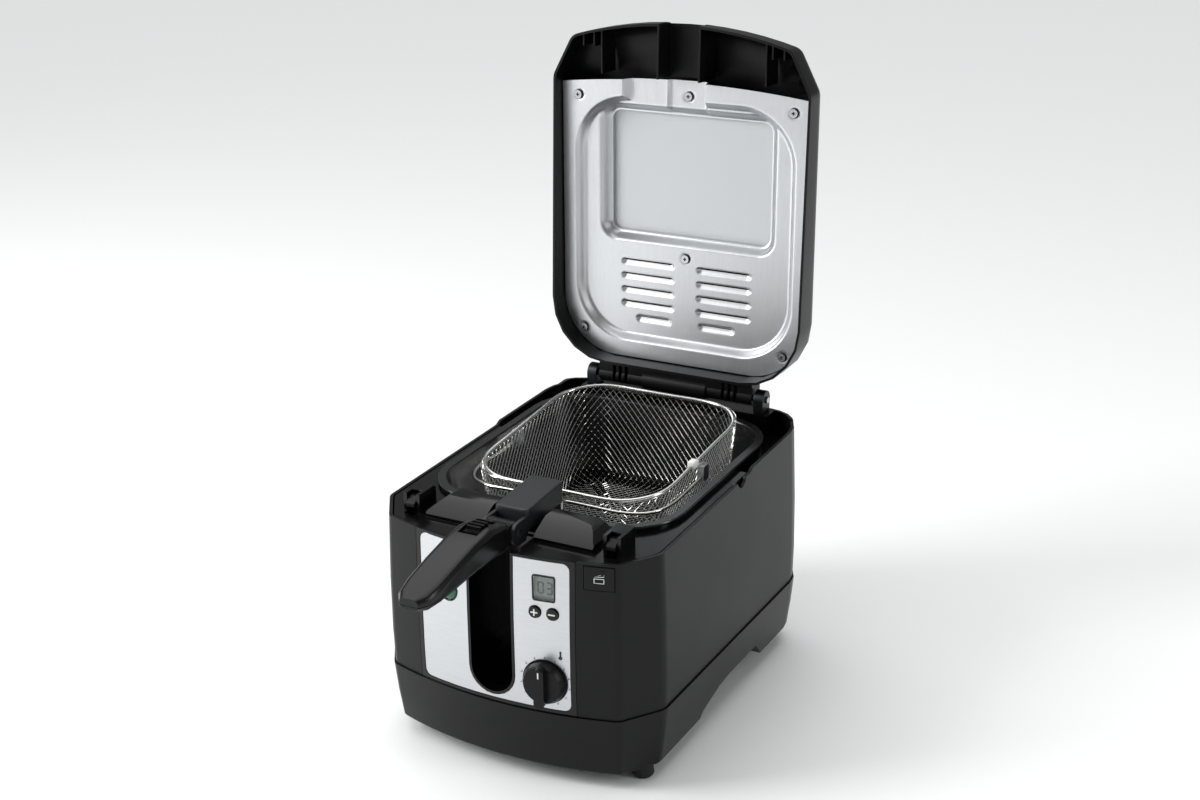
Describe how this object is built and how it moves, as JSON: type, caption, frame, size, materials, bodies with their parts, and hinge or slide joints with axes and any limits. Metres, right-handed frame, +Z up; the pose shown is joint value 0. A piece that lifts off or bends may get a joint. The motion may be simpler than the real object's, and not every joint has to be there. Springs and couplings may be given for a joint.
{
  "type": "deep fryer",
  "caption": "Rectangular deep fryer with a sloping top, a hinged lid with a window, a lift-out bowl, and a wire basket lowered by a folding front handle.",
  "frame": {"origin": "centre of the bounding box in plan, on the surface it stands on", "axes": "+X to the right seen from the front, the front faces -Y, +Z up"},
  "size_m": [0.2704, 0.4936, 0.5815],
  "materials": {
    "satin_black": "satin moulded",
    "gloss_black": "gloss moulded",
    "charcoal": "matt moulded",
    "filter_felt": "open felt",
    "brushed_steel": "brushed",
    "lid_aluminium": "satin stamped",
    "chrome_wire": "bright plated",
    "bowl_enamel": "non-stick coating",
    "clear_window": "clear",
    "lcd": "liquid crystal panel",
    "green_lens": "translucent lens",
    "rubber": "moulded",
    "board_green": "solder mask",
    "phenolic": "moulded phenolic"
  },
  "bodies": {
    "body": {"outer_housing": "satin_black", "base_moulding": "satin_black", "foot_front_left": "rubber", "foot_front_right": "rubber", "foot_rear_left": "rubber", "foot_rear_right": "rubber", "top_deck": "gloss_black", "control_fascia": "gloss_black", "control_plate": "brushed_steel", "display_lens": "clear_window", "display_module": "lcd", "indicator_lens": "green_lens", "control_board": "board_green", "thermostat_body": "phenolic", "heat_shield": "lid_aluminium", "heating_element": "brushed_steel", "thermal_cutout": "phenolic", "hinge_bracket_left": "brushed_steel", "hinge_bracket_right": "brushed_steel", "hinge_pin_left": "chrome_wire", "hinge_pin_right": "chrome_wire", "lid_spring": "brushed_steel", "cord_gland": "rubber"},
    "lid": {"lid_shell": "satin_black", "lid_inner_panel": "lid_aluminium", "window_glass": "clear_window", "window_seal": "rubber", "filter_cover": "gloss_black", "grease_filter": "filter_felt", "lid_screw_1": "brushed_steel", "lid_screw_2": "brushed_steel", "lid_screw_3": "brushed_steel", "lid_screw_4": "brushed_steel", "lid_screw_5": "brushed_steel", "lid_screw_6": "brushed_steel", "lid_hinge_carrier": "satin_black"},
    "bowl": {"oil_bowl": "bowl_enamel"},
    "hub": {"handle_hub": "charcoal", "handle_pivot_pin": "brushed_steel"},
    "basket": {"basket_rim": "chrome_wire", "basket_mesh": "chrome_wire", "basket_slider": "brushed_steel", "yoke_wire_left": "chrome_wire", "yoke_wire_right": "chrome_wire", "yoke_clip_left": "brushed_steel", "yoke_clip_right": "brushed_steel"},
    "handle": {"handle_grip": "satin_black", "handle_underside": "satin_black"},
    "handle_release": {"handle_button": "satin_black"},
    "thermostat": {"thermostat_knob": "satin_black", "knob_shaft": "brushed_steel"},
    "timer_plus": {"timer_plus_button": "satin_black"},
    "timer_minus": {"timer_minus_button": "satin_black"},
    "lid_release": {"lid_button": "satin_black"},
    "latch": {"latch_bar": "lid_aluminium", "latch_catch_left": "satin_black", "latch_catch_right": "satin_black"}
  },
  "joints": [
    {"name": "lid_hinge", "type": "hinge", "parent": "body", "child": "lid", "pos_m": [0, 0.20537, 0.238], "axis": [-1, 0, 0], "range_deg": [-95, 0], "stiffness_Nm_per_rad": 1, "springref_deg": 11.46},
    {"name": "bowl_lift", "type": "slide", "parent": "body", "child": "bowl", "axis": [0, 0, 1], "range_m": [0, 0.2]},
    {"name": "basket_lift", "type": "slide", "parent": "bowl", "child": "hub", "axis": [0, 0, 1], "range_m": [0, 0.2]},
    {"name": "basket_lower", "type": "slide", "parent": "hub", "child": "basket", "axis": [0, 0, 1], "range_m": [-0.042, 0]},
    {"name": "handle_fold", "type": "hinge", "parent": "hub", "child": "handle", "pos_m": [0, -0.11383, 0.214], "axis": [-1, 0, 0], "range_deg": [-90, 0]},
    {"name": "handle_button_slide", "type": "slide", "parent": "handle", "child": "handle_release", "axis": [0, 1, 0], "range_m": [0, 0.005], "stiffness_N_per_m": 400},
    {"name": "thermostat_turn", "type": "hinge", "parent": "body", "child": "thermostat", "pos_m": [0.0494, -0.13443, 0.0975], "axis": [0.1344, -0.9909, 0], "range_deg": [-250, 0]},
    {"name": "timer_plus_press", "type": "slide", "parent": "body", "child": "timer_plus", "axis": [-0.1136, 0.9935, 0], "range_m": [0, 0.0012], "stiffness_N_per_m": 600},
    {"name": "timer_minus_press", "type": "slide", "parent": "body", "child": "timer_minus", "axis": [-0.1553, 0.9879, 0], "range_m": [0, 0.0012], "stiffness_N_per_m": 600},
    {"name": "lid_button_press", "type": "slide", "parent": "body", "child": "lid_release", "axis": [-0.2598, 0.9657, 0], "range_m": [0, 0.004], "stiffness_N_per_m": 500},
    {"name": "latch_slide", "type": "slide", "parent": "body", "child": "latch", "axis": [0, 1, 0], "range_m": [0, 0.004], "stiffness_N_per_m": 300}
  ],
  "couplings": [
    {"joint": "basket_lower", "follows": "handle_fold", "m_per_rad": 0.0267},
    {"joint": "latch_slide", "follows": "lid_button_press", "ratio": 0.9657}
  ]
}
